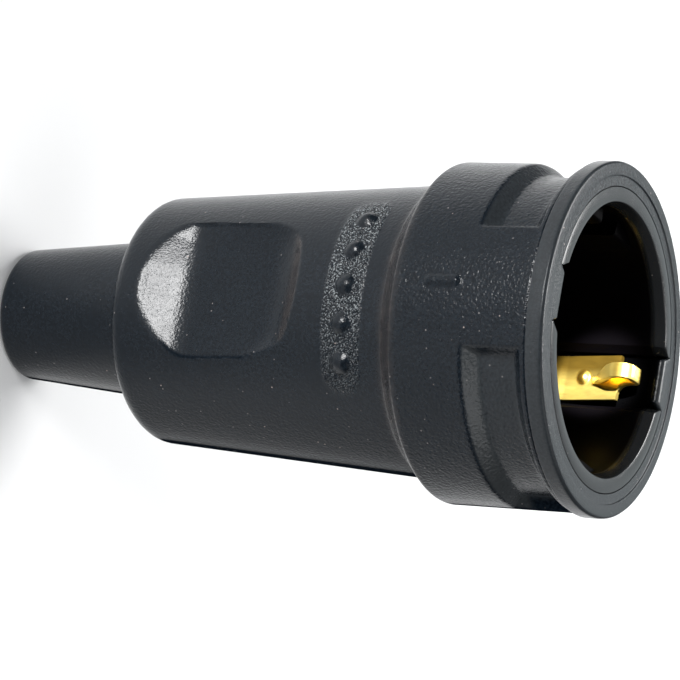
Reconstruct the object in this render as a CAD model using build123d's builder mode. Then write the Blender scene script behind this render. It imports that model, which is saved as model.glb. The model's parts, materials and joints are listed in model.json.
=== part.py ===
from build123d import *
import os
from math import cos, sin, radians, sqrt

os.makedirs("parts", exist_ok=True)

# ---------------------------------------------------------------------------
# Rubber cable coupling, two-pole earthed connector socket.
# Frame: tail face on Z = 0, mouth up, axis on Z. The earth clips lie on the
# Y axis, the two pin contacts on the X axis. Millimetres.
# ---------------------------------------------------------------------------

# outside of the rubber moulding
length = 100.0            # tail face to mouth plane
flange_r = 26.0           # mouth flange
flange_z = 97.5           # rear edge of the flange
collar_r = 25.4
collar_z = 76.0           # rear edge of the collar
body_top_r = 21.95
body_top_z = 73.0
body_low_r = 18.85
body_low_z = 25.0         # shoulder between body and cable sleeve
sleeve_root_r = 12.4
tail_r = 10.15
tail_round = 1.5
shoulder_round = 3.0
front_step_r = 24.0       # shallow step on the front face
front_step = 0.2

# inside of the rubber moulding
cable_r = 5.0             # cable passage in the sleeve
seat_r = 22.4             # seat of the socket cup
seat_z = 79.0             # shoulder under the cup
bead_r = 21.7             # retaining bead that snaps into the cup's groove
chamber_r = 18.4          # round the contact carrier
chamber_z = 57.8
rear_r = 14.2             # round the cord clamp
rear_z = 36.0

# collar pads and the three shallow recesses between them
recess_floor_r = 23.4
recess_half = 39.5        # degrees at the collar surface
recess_floor_half = 36.0  # degrees at the floor
recess_z = (87.2, 89.2, 94.9, 96.4)

# thumb scoops
scoop_low = (16.95, 37.6) # distance from the axis, height: rear end of the flat
scoop_top = (17.7, 51.2)  # front end of the flat
scoop_rear_end = (21.5, 27.88)
scoop_front_end = (22.7, 59.456)
scoop_round = 0.8

# grip bumps and index tick
bump_r = 1.6
bump_z = 66.35
bump_step = 15.2          # degrees
bump_h = 0.68
tick = (1.4, 5.6, 0.45)   # width, length, height
tick_z = 83.55

# socket cup
cup_r = 22.3
cup_front = length - front_step
recess_r = 19.53
recess_depth = 17.5
floor_z = cup_front + front_step - recess_depth
mouth_chamfer = (0.8, 1.5)
ledge_x = 16.9            # guide ledges beside the pin axis
ledge_z = 96.1
ledge_gap = 5.2
slot_w = 8.4              # earth slots
key_w = 8.2               # rubber keys that fill them
key_y = 21.55
key_lip_y = 20.0
pin_x = 9.5               # pin pitch 19 mm
pin_hole_r = 2.8

# earth bow
strip_t = 0.8
strip_w = 7.0
strip_z = 79.0            # underside of the cross strip
arm_y = 21.5              # outside of the arms at the floor
arm_tip = (19.0, 93.3)    # inner face at the front end of the wide strip
finger_w = 2.4
neck_r = 1.7

# contact carrier and terminals
carrier_r = 18.2
carrier_z = (58.0, 79.0)
pocket = 7.3
pocket_z = 60.0
block = 7.0
block_z = (60.0, 66.5)
sleeve_or = 3.2
sleeve_ir = 2.42
sleeve_top = 78.9
wire_hole_r = 2.1
wire_slot = 3.4
term_z = 63.25            # height of the terminal screws
term_r = 1.75
term_head = (2.9, 2.3)
carrier_screw_at = ((8.5, 11.0), (-8.5, -11.0))
tongue = (10.5, 2.4, 8.5, 42.0)   # half width, inner and outer Y, lower end
clamp_z = 48.0
clamp_x = 8.0
clamp_bar = (10.5, 2.4, 8.5, 8.0) # half width, inner and outer Y, height
cord_groove_r = 4.5


def body_radius(z):
    return body_low_r + (body_top_r - body_low_r) * (z - body_low_z) / (body_top_z - body_low_z)


# ---------------------------------------------------------------------------
# Rubber housing
# ---------------------------------------------------------------------------

# tool for one recess between two collar pads, centred on +X
with BuildPart() as collar_recess:
    with BuildSketch(Plane.XZ):
        with BuildLine():
            Polyline(
                (recess_floor_r, recess_z[1]),
                (recess_floor_r, recess_z[2]),
                (collar_r, recess_z[3]),
                (collar_r + 2, 2 * recess_z[3] - recess_z[2]),
                (collar_r + 2, 2 * recess_z[0] - recess_z[1]),
                (collar_r, recess_z[0]),
                close=True,
            )
        make_face()
    revolve(axis=Axis.Z)
    a0, a1 = radians(recess_floor_half), radians(recess_half)
    p0 = (recess_floor_r * cos(a0), recess_floor_r * sin(a0))
    p1 = (collar_r * cos(a1), collar_r * sin(a1))
    pin = (2 * p0[0] - p1[0], 2 * p0[1] - p1[1])
    pout = (3 * p1[0] - 2 * p0[0], 3 * p1[1] - 2 * p0[1])
    with BuildSketch(Plane.XY.offset(80)):
        Polygon(
            pin, pout, (40, pout[1]), (40, -pout[1]), (pout[0], -pout[1]), (pin[0], -pin[1]),
            align=None,
        )
    extrude(amount=20, mode=Mode.INTERSECT)

# tool for one thumb scoop, on the -Y side
with BuildPart() as scoop:
    with BuildSketch(Plane.YZ):
        with BuildLine():
            flat = Line((-scoop_top[0], scoop_top[1]), (-scoop_low[0], scoop_low[1]))
            rear = TangentArc(
                (-scoop_low[0], scoop_low[1]),
                (-scoop_rear_end[0], scoop_rear_end[1]),
                tangent=flat % 1,
            )
            Polyline(
                (-scoop_rear_end[0], scoop_rear_end[1]),
                (-32, scoop_rear_end[1]),
                (-32, scoop_front_end[1]),
                (-scoop_front_end[0], scoop_front_end[1]),
            )
            front = TangentArc(
                (-scoop_top[0], scoop_top[1]),
                (-scoop_front_end[0], scoop_front_end[1]),
                tangent=(flat % 0) * -1,
            )
        make_face()
    extrude(amount=16, both=True)

with BuildPart() as rubber_housing:
    with BuildSketch(Plane.XZ):
        with BuildLine():
            FilletPolyline(
                (cable_r, 0),
                (tail_r, 0),
                (sleeve_root_r, body_low_z),
                (body_low_r, body_low_z),
                (body_top_r, body_top_z),
                (collar_r, collar_z),
                (collar_r, flange_z - 0.4),
                (flange_r, flange_z),
                (flange_r, length),
                (front_step_r, length),
                (front_step_r - 0.15, length - front_step),
                (seat_r, length - front_step),
                (seat_r, 89.3),
                (bead_r, 88.8),
                (bead_r, 86.2),
                (seat_r, 85.7),
                (seat_r, seat_z),
                (chamber_r, seat_z),
                (chamber_r, chamber_z),
                (rear_r, chamber_z),
                (rear_r, rear_z),
                (cable_r, body_low_z + 3.0),
                radius=[
                    0, tail_round, 1.0, shoulder_round, 1.2, 0.9, 0, 0.3, 0.8,
                    0, 0, 0, 0, 0, 0, 0, 0, 0, 0.8, 1.0, 3.0, 0,
                ],
                close=True,
            )
        make_face()
    revolve(axis=Axis.Z)
    # recesses between the collar pads; pads at -90, 30 and 150 degrees
    with PolarLocations(0, 3, start_angle=-30):
        add(collar_recess.part, mode=Mode.SUBTRACT)
    # thumb scoops front and back
    with PolarLocations(0, 2):
        add(scoop.part, mode=Mode.SUBTRACT)
    scoop_rims = [
        e
        for e in rubber_housing.edges()
        if 28 < e.center().Z < 60
        and abs(e.center().Y) > 15
        and e.geom_type in (GeomType.BSPLINE, GeomType.HYPERBOLA)
    ]
    fillet(scoop_rims, radius=scoop_round)
    # keys that fill the cup's earth slots, with a lip at the mouth
    with BuildSketch(Plane.XY.offset(floor_z + 0.2)):
        with PolarLocations((key_y + 23.2) / 2, 2, start_angle=90):
            Rectangle(23.2 - key_y, key_w)
    extrude(amount=cup_front - floor_z - 0.2)
    with BuildSketch(Plane.XY.offset(cup_front - 2.2)):
        with PolarLocations((key_lip_y + 23.2) / 2, 2, start_angle=90):
            Rectangle(23.2 - key_lip_y, key_w)
    extrude(amount=2.2)
    lip_edges = rubber_housing.edges().filter_by(Axis.X).filter_by_position(
        Axis.Z, cup_front - 0.01, cup_front + 0.01
    )
    chamfer(lip_edges, length=0.5)
    # grip bumps, low round-topped studs
    for side in (-90, 90):
        for k in (-2, -1, 0, 1, 2):
            turn = radians(side + k * bump_step)
            root = body_radius(bump_z) - 0.6
            stud = Plane(
                origin=(root * cos(turn), root * sin(turn), bump_z),
                x_dir=(0, 0, 1),
                z_dir=(cos(turn), sin(turn), 0),
            )
            with BuildSketch(stud):
                Circle(bump_r)
            extrude(amount=0.6 + bump_h)
            crown = (
                rubber_housing.edges()
                .filter_by(GeomType.CIRCLE)
                .sort_by_distance(stud.origin + stud.z_dir * (0.6 + bump_h))[0]
            )
            fillet(crown, radius=bump_h - 0.05)
    # index tick on the pad that faces -Y
    with BuildSketch(Plane.XZ.offset(collar_r - 0.6)):
        with Locations((0, tick_z)):
            SlotOverall(tick[1], tick[0], rotation=90)
    extrude(amount=0.6 + tick[2], taper=8)
rubber_housing.part.label = "rubber_housing"
export_step(rubber_housing.part, "parts/rubber_housing.step")

# ---------------------------------------------------------------------------
# Socket cup
# ---------------------------------------------------------------------------
with BuildPart() as socket_cup:
    with BuildSketch(Plane.XZ):
        with BuildLine():
            Polyline(
                (0, seat_z),
                (cup_r, seat_z),
                (cup_r, 85.6),
                (bead_r - 0.1, 86.1),
                (bead_r - 0.1, 88.9),
                (cup_r, 89.4),
                (cup_r, cup_front),
                (recess_r + mouth_chamfer[0], cup_front),
                (recess_r, cup_front - mouth_chamfer[1]),
                (recess_r, floor_z),
                (0, floor_z),
                close=True,
            )
        make_face()
    revolve(axis=Axis.Z)
    # guide ledges beside the pin axis, each split by a groove
    with BuildSketch(Plane.XY.offset(floor_z)):
        Circle(recess_r + 0.4)
        Rectangle(2 * ledge_x, 60, mode=Mode.SUBTRACT)
        Rectangle(60, ledge_gap, mode=Mode.SUBTRACT)
    extrude(amount=ledge_z - floor_z)
    ledge_edges = (
        socket_cup.edges()
        .filter_by(Axis.Y)
        .filter_by_position(Axis.Z, ledge_z - 0.01, ledge_z + 0.01)
    )
    chamfer(ledge_edges, length=0.5)
    # earth slots, open to the outside
    with BuildSketch(Plane.XY.offset(floor_z)):
        with Locations((0, 20.5), (0, -20.5)):
            Rectangle(slot_w, 7)
    extrude(amount=20, mode=Mode.SUBTRACT)
    slot_edges = [
        e
        for e in socket_cup.edges().filter_by(Axis.Z)
        if abs(abs(e.center().X) - slot_w / 2) < 0.01 and 19.0 < abs(e.center().Y) < 19.6
    ]
    chamfer(slot_edges, length=0.9)
    # ways for the arms, and the channel for the cross strip under the floor
    with BuildSketch(Plane.XY.offset(seat_z)):
        with Locations((0, 21.5), (0, -21.5)):
            Rectangle(strip_w + 0.2, 2.8)
    extrude(amount=floor_z - seat_z, mode=Mode.SUBTRACT)
    with BuildSketch(Plane.XY.offset(seat_z)):
        Rectangle(strip_w + 0.2, 46)
    extrude(amount=strip_t, mode=Mode.SUBTRACT)
    with BuildSketch(Plane.XY.offset(seat_z)):
        Circle(3.0)
    extrude(amount=strip_t + 1.2, mode=Mode.SUBTRACT)
    # pin holes with a lead-in
    with Locations((pin_x, 0, floor_z), (-pin_x, 0, floor_z)):
        CounterSinkHole(radius=pin_hole_r, counter_sink_radius=pin_hole_r + 0.6, depth=6)
    # pilot holes of the carrier screws
    with BuildSketch(Plane.XY.offset(seat_z)):
        with Locations(*carrier_screw_at):
            Circle(1.3)
    extrude(amount=2.8, mode=Mode.SUBTRACT)
socket_cup.part.label = "socket_cup"
export_step(socket_cup.part, "parts/socket_cup.step")

# ---------------------------------------------------------------------------
# Earth bow: cross strip, two leaning arms, a folded-back finger on each
# ---------------------------------------------------------------------------
lean = (arm_tip[1] - 84.0, (arm_y - strip_t) - arm_tip[0])
lean_k = lean[1] / lean[0]


def ribbon(points, radii, half):
    """Closed outline and corner radii of a bent strip, from its centre line."""
    left, right = [], []
    left_r, right_r = [], []
    last = len(points) - 1
    for i, (u, v) in enumerate(points):
        ends = []
        for j in (max(i - 1, 0), min(i, last - 1)):
            du, dv = points[j + 1][0] - points[j][0], points[j + 1][1] - points[j][1]
            size = sqrt(du * du + dv * dv)
            ends.append((du / size, dv / size))
        (au, av), (bu, bv) = ends
        nu, nv = -(av + bv), au + bu
        scale = half / (nu * -av + nv * au)
        left.append((u + nu * scale, v + nv * scale))
        right.append((u - nu * scale, v - nv * scale))
        if 0 < i < last:
            turn = 1 if au * bv - av * bu > 0 else -1
            left_r.append(radii[i - 1] - turn * half)
            right_r.append(radii[i - 1] + turn * half)
        else:
            left_r.append(0)
            right_r.append(0)
    return left + right[::-1], left_r + right_r[::-1]


def arm_mid(z):
    """Centre line of the leaning part of an arm, distance from the axis."""
    return arm_y - strip_t / 2 - lean_k * (z - 84.0)


with BuildPart() as earth_bow:
    mid = arm_y - strip_t / 2
    low = strip_z + strip_t / 2
    outline, corners = ribbon(
        [
            (-arm_mid(arm_tip[1]), arm_tip[1]),
            (-mid, 84.0),
            (-mid, low),
            (mid, low),
            (mid, 84.0),
            (arm_mid(arm_tip[1]), arm_tip[1]),
        ],
        [3.0, 0.9, 0.9, 3.0],
        strip_t / 2,
    )
    with BuildSketch(Plane.YZ):
        with BuildLine():
            FilletPolyline(*outline, radius=corners, close=True)
        make_face()
    extrude(amount=strip_w / 2, both=True)
    # rivet hole
    with BuildSketch(Plane.XY.offset(strip_z)):
        Circle(1.65)
    extrude(amount=strip_t, mode=Mode.SUBTRACT)
    # embossed dimple on each arm
    dimple_z = 87.1
    dimple_y = arm_mid(dimple_z) - strip_t / 2 + 0.35
    with Locations((0, dimple_y, dimple_z), (0, -dimple_y, dimple_z)):
        Sphere(0.9)
    for side in (1, -1):
        # root fillets from the wide strip to the finger
        arm_plane = Plane(
            origin=(0, side * arm_mid(arm_tip[1]), arm_tip[1]),
            x_dir=(1, 0, 0),
            z_dir=(0, side * lean[0], lean[1]),
        )
        up = 1 if arm_plane.y_dir.Z > 0 else -1
        with BuildSketch(arm_plane):
            with Locations((0, up * (neck_r - 0.2) / 2)):
                Rectangle(finger_w + 2 * neck_r, neck_r + 0.2)
            with Locations(
                (finger_w / 2 + neck_r, up * neck_r), (-finger_w / 2 - neck_r, up * neck_r)
            ):
                Circle(neck_r, mode=Mode.SUBTRACT)
        extrude(amount=strip_t / 2, both=True)
        # folded-back finger: out along the strip, round the bend, arched back
        outline, corners = ribbon(
            [
                (side * arm_mid(92.7), 92.7),
                (side * arm_mid(96.75), 96.75),
                (side * 15.15, 96.35),
                (side * 15.05, 94.0),
                (side * 19.72, 89.18),
            ],
            [0.8, 1.2, 2.2],
            strip_t / 2,
        )
        with BuildSketch(Plane.YZ):
            with BuildLine():
                FilletPolyline(*outline, radius=corners, close=True)
            make_face()
        extrude(amount=finger_w / 2, both=True)
earth_bow.part.label = "earth_bow"
export_step(earth_bow.part, "parts/earth_bow.step")

# ---------------------------------------------------------------------------
# Contact carrier
# ---------------------------------------------------------------------------
with BuildPart() as contact_carrier:
    with BuildSketch(Plane.XY.offset(carrier_z[0])):
        Circle(carrier_r)
    extrude(amount=carrier_z[1] - carrier_z[0])
    chamfer(contact_carrier.edges().group_by(Axis.Z)[0], length=1.0)
    # tongue that carries the cord clamp
    with BuildSketch(Plane.XY.offset(tongue[3])):
        with Locations((0, (tongue[1] + tongue[2]) / 2)):
            Rectangle(2 * tongue[0], tongue[2] - tongue[1])
        Circle(cord_groove_r, mode=Mode.SUBTRACT)
    extrude(amount=carrier_z[0] - tongue[3])
    # pockets of the three terminals and their wire holes
    with BuildSketch(Plane.XY.offset(pocket_z)):
        with Locations((-pin_x, 0), (0, 0), (pin_x, 0)):
            Rectangle(pocket, pocket)
    extrude(amount=carrier_z[1] - pocket_z, mode=Mode.SUBTRACT)
    with BuildSketch(Plane.XY.offset(carrier_z[0] - 0.5)):
        with Locations((-pin_x, 0), (0, 0), (pin_x, 0)):
            Circle(wire_hole_r)
    extrude(amount=pocket_z - carrier_z[0] + 1, mode=Mode.SUBTRACT)
    # ways to the terminal screws
    with BuildSketch(Plane.YZ.offset(pocket / 2 + pin_x - 0.2)):
        with Locations((0, term_z)):
            Circle(3.2)
    extrude(amount=10, mode=Mode.SUBTRACT)
    with BuildSketch(Plane.YZ.offset(-pocket / 2 - pin_x + 0.2)):
        with Locations((0, term_z)):
            Circle(3.2)
    extrude(amount=-10, mode=Mode.SUBTRACT)
    with BuildSketch(Plane.XZ.offset(pocket / 2 - 0.2)):
        with Locations((0, term_z)):
            Circle(3.2)
    extrude(amount=18, mode=Mode.SUBTRACT)
    # carrier screws: clear hole and sunk head
    with BuildSketch(Plane.XY.offset(carrier_z[0] - 0.5)):
        with Locations(*carrier_screw_at):
            Circle(1.6)
    extrude(amount=carrier_z[1] - carrier_z[0] + 1, mode=Mode.SUBTRACT)
    with BuildSketch(Plane.XY.offset(carrier_z[0] - 0.5)):
        with Locations(*carrier_screw_at):
            Circle(2.9)
    extrude(amount=12.5, mode=Mode.SUBTRACT)
    # pilot holes of the cord clamp screws
    with BuildSketch(Plane.XZ.offset(-tongue[1])):
        with Locations((clamp_x, clamp_z), (-clamp_x, clamp_z)):
            Circle(1.55)
    extrude(amount=-5.1, mode=Mode.SUBTRACT)
contact_carrier.part.label = "contact_carrier"
export_step(contact_carrier.part, "parts/contact_carrier.step")

# ---------------------------------------------------------------------------
# Earth terminal pillar, riveted to the bow
# ---------------------------------------------------------------------------
with BuildPart() as earth_terminal:
    with BuildSketch(Plane.XY.offset(block_z[0])):
        RectangleRounded(block, block, 0.6)
    extrude(amount=block_z[1] - block_z[0])
    with BuildSketch(Plane.XY.offset(block_z[1])):
        Circle(2.6)
    extrude(amount=strip_z - block_z[1])
    with BuildSketch(Plane.XY.offset(strip_z)):
        Circle(1.6)
    extrude(amount=strip_t)
    with BuildSketch(Plane.XY.offset(strip_z + strip_t)):
        Circle(2.6)
    extrude(amount=0.9, taper=25)
    with BuildSketch(Plane.XY.offset(block_z[0])):
        Rectangle(wire_slot, wire_slot)
    extrude(amount=5.6, mode=Mode.SUBTRACT)
    with BuildSketch(Plane.XZ.offset(0.5)):
        with Locations((0, term_z)):
            Circle(term_r + 0.05)
    extrude(amount=6, mode=Mode.SUBTRACT)
earth_terminal.part.label = "earth_terminal"
export_step(earth_terminal.part, "parts/earth_terminal.step")

# ---------------------------------------------------------------------------
# Pin contacts: split sleeve on a terminal pillar
# ---------------------------------------------------------------------------
with BuildPart() as line_contact:
    with BuildSketch(Plane.XY.offset(block_z[0])):
        with Locations((pin_x, 0)):
            RectangleRounded(block, block, 0.6)
    extrude(amount=block_z[1] - block_z[0])
    with BuildSketch(Plane.XY.offset(block_z[1])):
        with Locations((pin_x, 0)):
            Circle(sleeve_or)
    extrude(amount=sleeve_top - block_z[1])
    with BuildSketch(Plane.XY.offset(block_z[1] + 0.4)):
        with Locations((pin_x, 0)):
            Circle(sleeve_ir)
    extrude(amount=20, mode=Mode.SUBTRACT)
    with BuildSketch(Plane.XY.offset(70)):
        with Locations((pin_x, 0)):
            Rectangle(0.8, 10)
    extrude(amount=20, mode=Mode.SUBTRACT)
    with BuildSketch(Plane.XY.offset(block_z[0])):
        with Locations((pin_x, 0)):
            Rectangle(wire_slot, wire_slot)
    extrude(amount=5.6, mode=Mode.SUBTRACT)
    with BuildSketch(Plane.YZ.offset(pin_x + 0.5)):
        with Locations((0, term_z)):
            Circle(term_r + 0.05)
    extrude(amount=6, mode=Mode.SUBTRACT)
line_contact.part.label = "line_contact"
export_step(line_contact.part, "parts/line_contact.step")

with BuildPart() as neutral_contact:
    add(line_contact.part, rotation=(0, 0, 180))
neutral_contact.part.label = "neutral_contact"
export_step(neutral_contact.part, "parts/neutral_contact.step")

# steel clips round the split sleeves
with BuildPart() as line_contact_spring:
    with BuildSketch(Plane.XY.offset(74.0)):
        with Locations((pin_x, 0)):
            Circle(sleeve_or + 0.37)
            Circle(sleeve_or + 0.02, mode=Mode.SUBTRACT)
        with Locations((pin_x + 3.4, 0)):
            Rectangle(2, 1.2, mode=Mode.SUBTRACT)
    extrude(amount=3.0)
line_contact_spring.part.label = "line_contact_spring"
export_step(line_contact_spring.part, "parts/line_contact_spring.step")

with BuildPart() as neutral_contact_spring:
    add(line_contact_spring.part, rotation=(0, 0, 180))
neutral_contact_spring.part.label = "neutral_contact_spring"
export_step(neutral_contact_spring.part, "parts/neutral_contact_spring.step")

# ---------------------------------------------------------------------------
# Fasteners and small plates
# ---------------------------------------------------------------------------

# one terminal screw on +X, head outwards
with BuildPart() as terminal_screw:
    with BuildSketch(Plane.YZ.offset(pin_x + 1.2)):
        with Locations((0, term_z)):
            Circle(term_r)
    extrude(amount=block / 2 - 1.2 + 0.3)
    with BuildSketch(Plane.YZ.offset(pin_x + block / 2 + 0.3)):
        with Locations((0, term_z)):
            Circle(term_head[0])
    extrude(amount=term_head[1])
    head = terminal_screw.edges().filter_by(GeomType.CIRCLE).sort_by(Axis.X)[-1]
    chamfer(head, length=0.4)
    with BuildSketch(Plane.YZ.offset(pin_x + block / 2 + 0.3 + term_head[1] - 1.1)):
        with Locations((0, term_z)):
            Rectangle(8, 0.9)
    extrude(amount=3, mode=Mode.SUBTRACT)

with BuildPart() as terminal_screws:
    add(terminal_screw.part)
    add(terminal_screw.part, rotation=(0, 0, 180))
    with Locations((0, pin_x, 0)):
        add(terminal_screw.part, rotation=(0, 0, -90))
terminal_screws.part.label = "terminal_screws"
export_step(terminal_screws.part, "parts/terminal_screws.step")

# leaf between screw tip and wire, one in each pillar
with BuildPart() as wire_guard_plates:
    with BuildSketch(Plane.XY.offset(block_z[0] + 0.3)):
        with Locations((pin_x + 1.05, 0), (-pin_x - 1.05, 0)):
            Rectangle(0.3, 3.0)
        with Locations((0, -1.05)):
            Rectangle(3.0, 0.3)
    extrude(amount=5.0)
wire_guard_plates.part.label = "wire_guard_plates"
export_step(wire_guard_plates.part, "parts/wire_guard_plates.step")

# two screws that hold the carrier to the cup
with BuildPart() as carrier_screws:
    with BuildSketch(Plane.XY.offset(70.0)):
        with Locations(*carrier_screw_at):
            Circle(1.25)
    extrude(amount=11.5)
    with BuildSketch(Plane.XY.offset(68.0)):
        with Locations(*carrier_screw_at):
            Circle(2.7)
    extrude(amount=2.0)
    with BuildSketch(Plane.XY.offset(67.9)):
        with Locations(*carrier_screw_at):
            Rectangle(3.6, 0.8)
            Rectangle(0.8, 3.6)
    extrude(amount=1.1, mode=Mode.SUBTRACT)
carrier_screws.part.label = "carrier_screws"
export_step(carrier_screws.part, "parts/carrier_screws.step")

# cord clamp bar
with BuildPart() as cord_clamp_bar:
    with BuildSketch(Plane.XY.offset(clamp_z - clamp_bar[3] / 2)):
        with Locations((0, -(clamp_bar[1] + clamp_bar[2]) / 2)):
            RectangleRounded(2 * clamp_bar[0], clamp_bar[2] - clamp_bar[1], 1.0)
        Circle(cord_groove_r, mode=Mode.SUBTRACT)
    extrude(amount=clamp_bar[3])
    with BuildSketch(Plane.XZ.offset(clamp_bar[1] - 1)):
        with Locations((clamp_x, clamp_z), (-clamp_x, clamp_z)):
            Circle(1.7)
    extrude(amount=9, mode=Mode.SUBTRACT)
    with BuildSketch(Plane.XZ.offset(clamp_bar[2] - 2.3)):
        with Locations((clamp_x, clamp_z), (-clamp_x, clamp_z)):
            Circle(2.9)
    extrude(amount=5, mode=Mode.SUBTRACT)
cord_clamp_bar.part.label = "cord_clamp_bar"
export_step(cord_clamp_bar.part, "parts/cord_clamp_bar.step")

# its two screws
with BuildPart() as cord_clamp_screws:
    with BuildSketch(Plane.XZ.offset(clamp_bar[2] - 2.3)):
        with Locations((clamp_x, clamp_z), (-clamp_x, clamp_z)):
            Circle(1.5)
    extrude(amount=-(clamp_bar[2] - 2.3 + 7.0))
    with BuildSketch(Plane.XZ.offset(clamp_bar[2] - 2.3)):
        with Locations((clamp_x, clamp_z), (-clamp_x, clamp_z)):
            Circle(2.7)
    extrude(amount=2.1)
    with BuildSketch(Plane.XZ.offset(clamp_bar[2] - 1.2)):
        with Locations((clamp_x, clamp_z), (-clamp_x, clamp_z)):
            Rectangle(3.6, 0.8)
            Rectangle(0.8, 3.6)
    extrude(amount=3, mode=Mode.SUBTRACT)
cord_clamp_screws.part.label = "cord_clamp_screws"
export_step(cord_clamp_screws.part, "parts/cord_clamp_screws.step")
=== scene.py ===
import bpy
import bmesh
import json
import math
import numpy as np
from mathutils import Matrix, Vector
from mathutils.geometry import delaunay_2d_cdt


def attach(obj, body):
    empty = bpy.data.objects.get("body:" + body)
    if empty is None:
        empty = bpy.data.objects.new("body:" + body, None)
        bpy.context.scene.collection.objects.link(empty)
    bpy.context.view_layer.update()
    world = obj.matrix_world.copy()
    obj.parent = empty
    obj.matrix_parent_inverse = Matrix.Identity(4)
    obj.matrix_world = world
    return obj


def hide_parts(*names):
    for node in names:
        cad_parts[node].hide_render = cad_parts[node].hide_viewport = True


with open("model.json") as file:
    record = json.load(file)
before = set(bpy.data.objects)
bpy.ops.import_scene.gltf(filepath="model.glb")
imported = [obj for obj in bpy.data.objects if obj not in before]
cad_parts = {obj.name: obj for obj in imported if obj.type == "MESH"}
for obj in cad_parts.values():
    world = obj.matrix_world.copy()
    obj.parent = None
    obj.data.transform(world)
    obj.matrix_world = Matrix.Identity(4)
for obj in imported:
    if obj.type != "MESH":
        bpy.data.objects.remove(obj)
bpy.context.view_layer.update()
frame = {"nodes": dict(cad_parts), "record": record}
nodes = frame["nodes"]
MM = 0.001


# ---------------------------------------------------------------------------
# small helpers
# ---------------------------------------------------------------------------
def smin(a, b, k):
    """Smaller of two heights, with the corner between them rounded over k."""
    h = np.clip(k - np.abs(a - b), 0.0, None) / k
    return np.minimum(a, b) - h * h * k * 0.25


def smax(a, b, k):
    return -smin(-a, -b, k)


def sstep(x, a, b):
    t = np.clip((x - a) / (b - a), 0.0, 1.0)
    return t * t * (3 - 2 * t)


def make_object(name, verts, faces, sharp=None):
    """Mesh object from millimetre points; sharp is the angle in degrees above which an edge stays hard."""
    mesh = bpy.data.meshes.new(name)
    mesh.from_pydata([tuple(v) for v in np.asarray(verts, float) * MM], [], faces)
    mesh.validate()
    mesh.update()
    bm = bmesh.new()
    bm.from_mesh(mesh)
    bmesh.ops.recalc_face_normals(bm, faces=bm.faces)
    bm.to_mesh(mesh)
    bm.free()
    mesh.polygons.foreach_set("use_smooth", [True] * len(mesh.polygons))
    if sharp is not None:
        mesh.set_sharp_from_angle(angle=math.radians(sharp))
    obj = bpy.data.objects.new(name, mesh)
    bpy.context.scene.collection.objects.link(obj)
    return obj


class Shell:
    """Collects points and faces of one piece in millimetres."""

    def __init__(self):
        self.v, self.f = [], []

    def add(self, verts, faces):
        n = len(self.v)
        self.v.extend([tuple(p) for p in verts])
        self.f.extend([tuple(i + n for i in face) for face in faces])

    def grid(self, pts, wrap_u=False, wrap_v=False, flip=False):
        """pts is (rows, columns, 3)."""
        nu, nv = pts.shape[:2]
        faces = []
        for i in range(nu if wrap_u else nu - 1):
            for j in range(nv if wrap_v else nv - 1):
                a, b = i * nv + j, i * nv + (j + 1) % nv
                c, d = ((i + 1) % nu) * nv + (j + 1) % nv, ((i + 1) % nu) * nv + j
                faces.append((a, d, c, b) if flip else (a, b, c, d))
        self.add(pts.reshape(-1, 3), faces)


def fillet_path(corners, spacing, arc_step=12.0):
    """Open line through (u, v, radius) corners with rounded corners, sampled along its runs by spacing(u, v)."""
    pts = [np.array(c[:2], float) for c in corners]
    rad = [c[2] if len(c) > 2 else 0.0 for c in corners]
    out = []
    start = pts[0]

    def straight(p, q):
        length = np.linalg.norm(q - p)
        if length < 1e-9:
            return
        marks, s = [0.0], 0.0
        while True:
            m = p + (q - p) * min(s / length, 1.0)
            s += spacing(m[0], m[1])
            if s >= length * 0.999:
                break
            marks.append(s)
        # even the steps out so that the last one is not a sliver
        marks = np.array(marks)
        if len(marks) > 1:
            marks = marks * (length / (s if s > 0 else 1.0))
        out.extend([p + (q - p) * (m / length) for m in marks])

    for i in range(1, len(pts) - 1):
        p, c, q = pts[i - 1], pts[i], pts[i + 1]
        d0, d1 = (c - p) / np.linalg.norm(c - p), (q - c) / np.linalg.norm(q - c)
        turn = math.acos(max(-1.0, min(1.0, float(d0 @ d1))))
        if rad[i] <= 0 or turn < 1e-4:
            straight(start, c)
            start = c
            continue
        cut = rad[i] * math.tan(turn / 2)
        a, b = c - d0 * cut, c + d1 * cut
        straight(start, a)
        side = 1.0 if d0[0] * d1[1] - d0[1] * d1[0] > 0 else -1.0
        nrm = np.array([-d0[1], d0[0]]) * side
        centre = a + nrm * rad[i]
        n = max(2, int(math.ceil(math.degrees(turn) / arc_step)))
        for k in range(n):
            ang = side * turn * k / n
            v = a - centre
            out.append(
                centre
                + np.array(
                    [
                        v[0] * math.cos(ang) - v[1] * math.sin(ang),
                        v[0] * math.sin(ang) + v[1] * math.cos(ang),
                    ]
                )
            )
        start = b
    straight(start, pts[-1])
    out.append(pts[-1])
    return np.array(out)


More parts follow.
